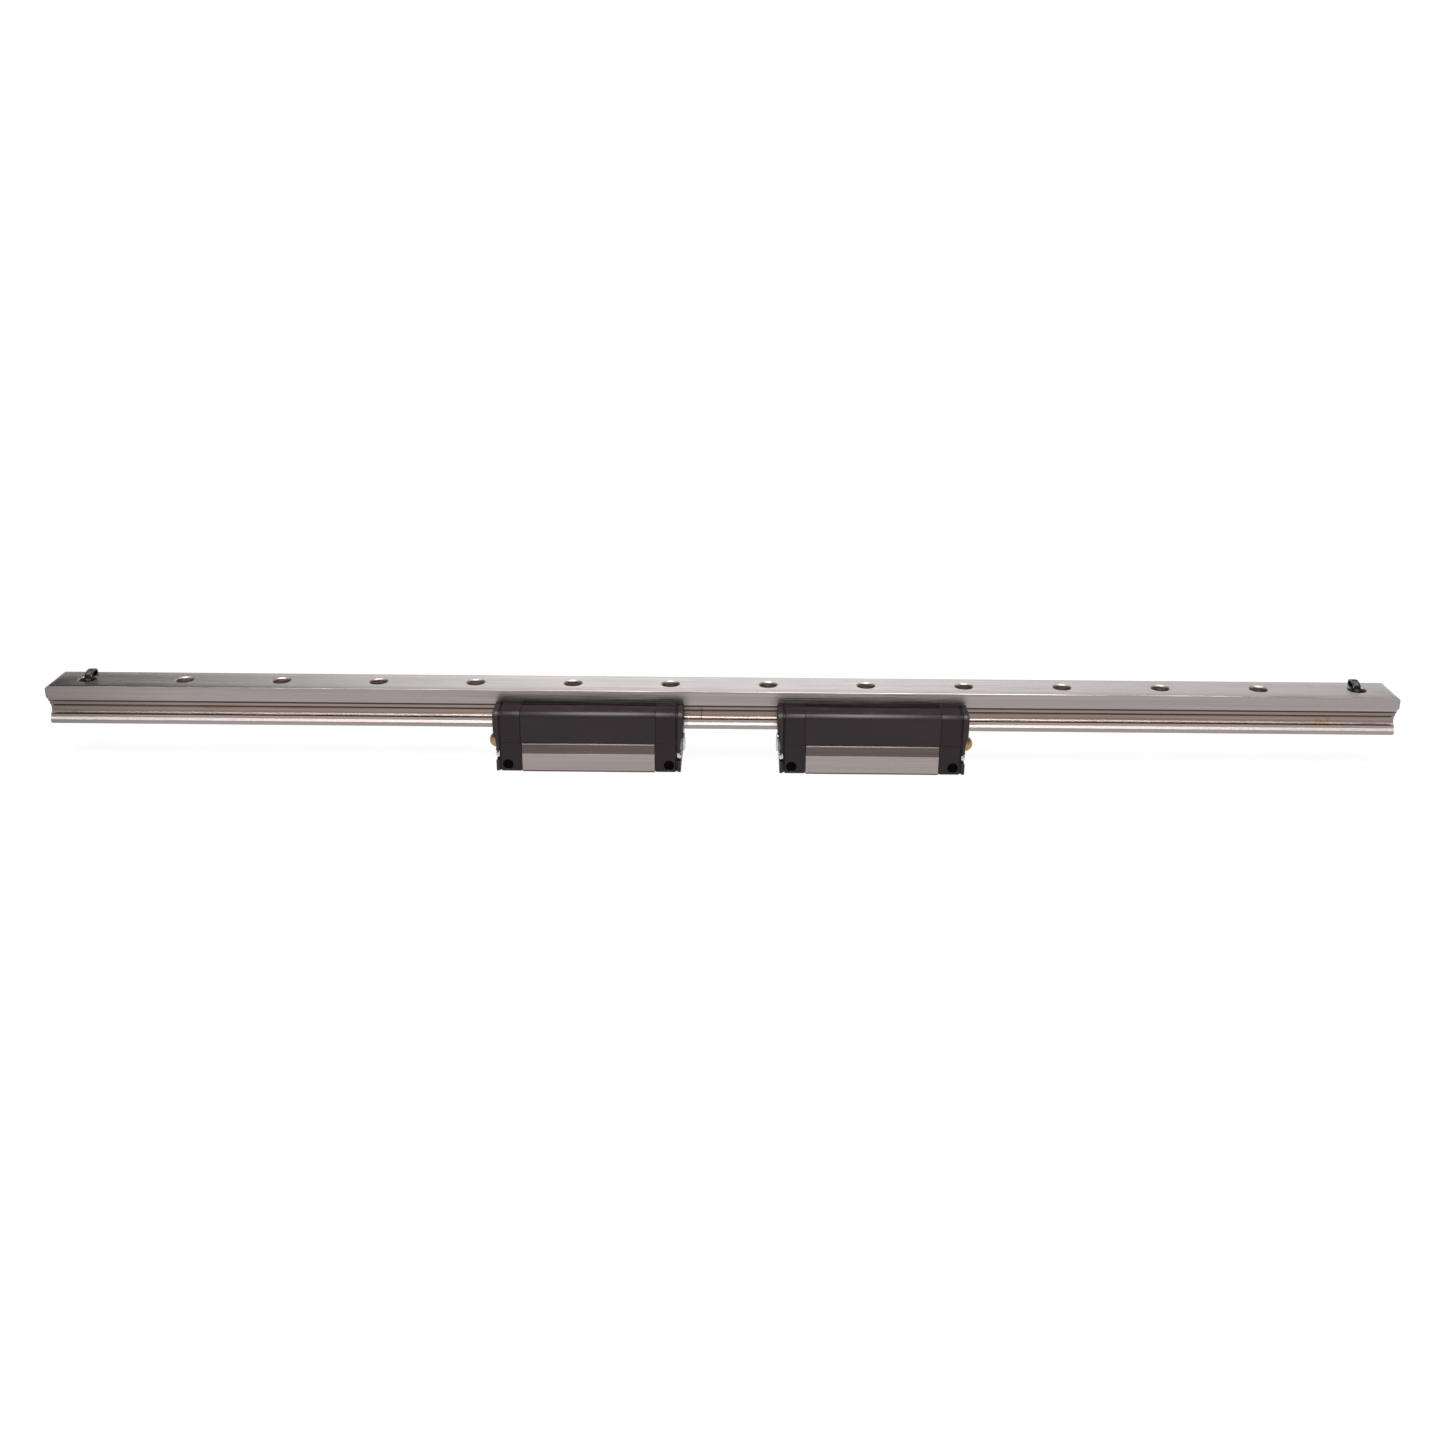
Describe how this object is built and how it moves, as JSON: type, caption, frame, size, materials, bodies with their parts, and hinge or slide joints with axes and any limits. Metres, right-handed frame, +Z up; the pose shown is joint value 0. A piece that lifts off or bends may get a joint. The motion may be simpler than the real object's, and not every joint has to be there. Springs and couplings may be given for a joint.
{
  "type": "linear guide",
  "caption": "Profile rail linear guide with recirculating-ball carriages, lying base face up, with lubrication nipples, end seals and cable-tie transport stops on a drilled steel rail.",
  "frame": {"origin": "middle of the object at the height of the carriages' mounting faces, which it rests on", "axes": "+X along the rail, +Y across it away from the viewer, +Z up, towards the rail's base face"},
  "size_m": [0.824, 0.06, 0.05],
  "materials": {
    "rail_steel": "ground",
    "block_steel": "ground",
    "ball_steel": "polished",
    "plate_steel": "satin",
    "zinc": "zinc plated",
    "brass": "turned",
    "black_plastic": "moulded satin",
    "seal_rubber": "matt",
    "pale_plastic": "moulded",
    "tie_nylon": "satin"
  },
  "bodies": {
    "root": {"rail": "rail_steel", "left_cable_tie": "tie_nylon", "right_cable_tie": "tie_nylon"},
    "left_carriage": {"left_block": "block_steel", "left_outer_end_cap": "black_plastic", "left_outer_backing_plate": "plate_steel", "left_outer_end_seal": "seal_rubber", "left_outer_front_end_screw": "zinc", "left_outer_front_port_plug": "black_plastic", "left_outer_rear_end_screw": "zinc", "left_outer_rear_port_plug": "black_plastic", "left_inner_end_cap": "black_plastic", "left_inner_backing_plate": "plate_steel", "left_inner_end_seal": "seal_rubber", "left_inner_front_end_screw": "zinc", "left_inner_front_port_plug": "black_plastic", "left_inner_rear_end_screw": "zinc", "left_inner_rear_port_plug": "black_plastic", "left_grease_nipple": "brass", "left_closing_plug": "zinc", "left_front_side_cover": "black_plastic", "left_front_side_seal": "seal_rubber", "left_front_ball_retainer": "pale_plastic", "left_front_ball_chain": "ball_steel", "left_rear_side_cover": "black_plastic", "left_rear_side_seal": "seal_rubber", "left_rear_ball_retainer": "pale_plastic", "left_rear_ball_chain": "ball_steel"},
    "right_carriage": {"right_block": "block_steel", "right_outer_end_cap": "black_plastic", "right_outer_backing_plate": "plate_steel", "right_outer_end_seal": "seal_rubber", "right_outer_front_end_screw": "zinc", "right_outer_front_port_plug": "black_plastic", "right_outer_rear_end_screw": "zinc", "right_outer_rear_port_plug": "black_plastic", "right_inner_end_cap": "black_plastic", "right_inner_backing_plate": "plate_steel", "right_inner_end_seal": "seal_rubber", "right_inner_front_end_screw": "zinc", "right_inner_front_port_plug": "black_plastic", "right_inner_rear_end_screw": "zinc", "right_inner_rear_port_plug": "black_plastic", "right_grease_nipple": "brass", "right_closing_plug": "zinc", "right_front_side_cover": "black_plastic", "right_front_side_seal": "seal_rubber", "right_front_ball_retainer": "pale_plastic", "right_front_ball_chain": "ball_steel", "right_rear_side_cover": "black_plastic", "right_rear_side_seal": "seal_rubber", "right_rear_ball_retainer": "pale_plastic", "right_rear_ball_chain": "ball_steel"}
  },
  "joints": [
    {"name": "left_carriage_slide", "type": "slide", "parent": "root", "child": "left_carriage", "axis": [1, 0, 0], "range_m": [-0.248, 0.028]},
    {"name": "right_carriage_slide", "type": "slide", "parent": "root", "child": "right_carriage", "axis": [1, 0, 0], "range_m": [-0.028, 0.234]}
  ]
}
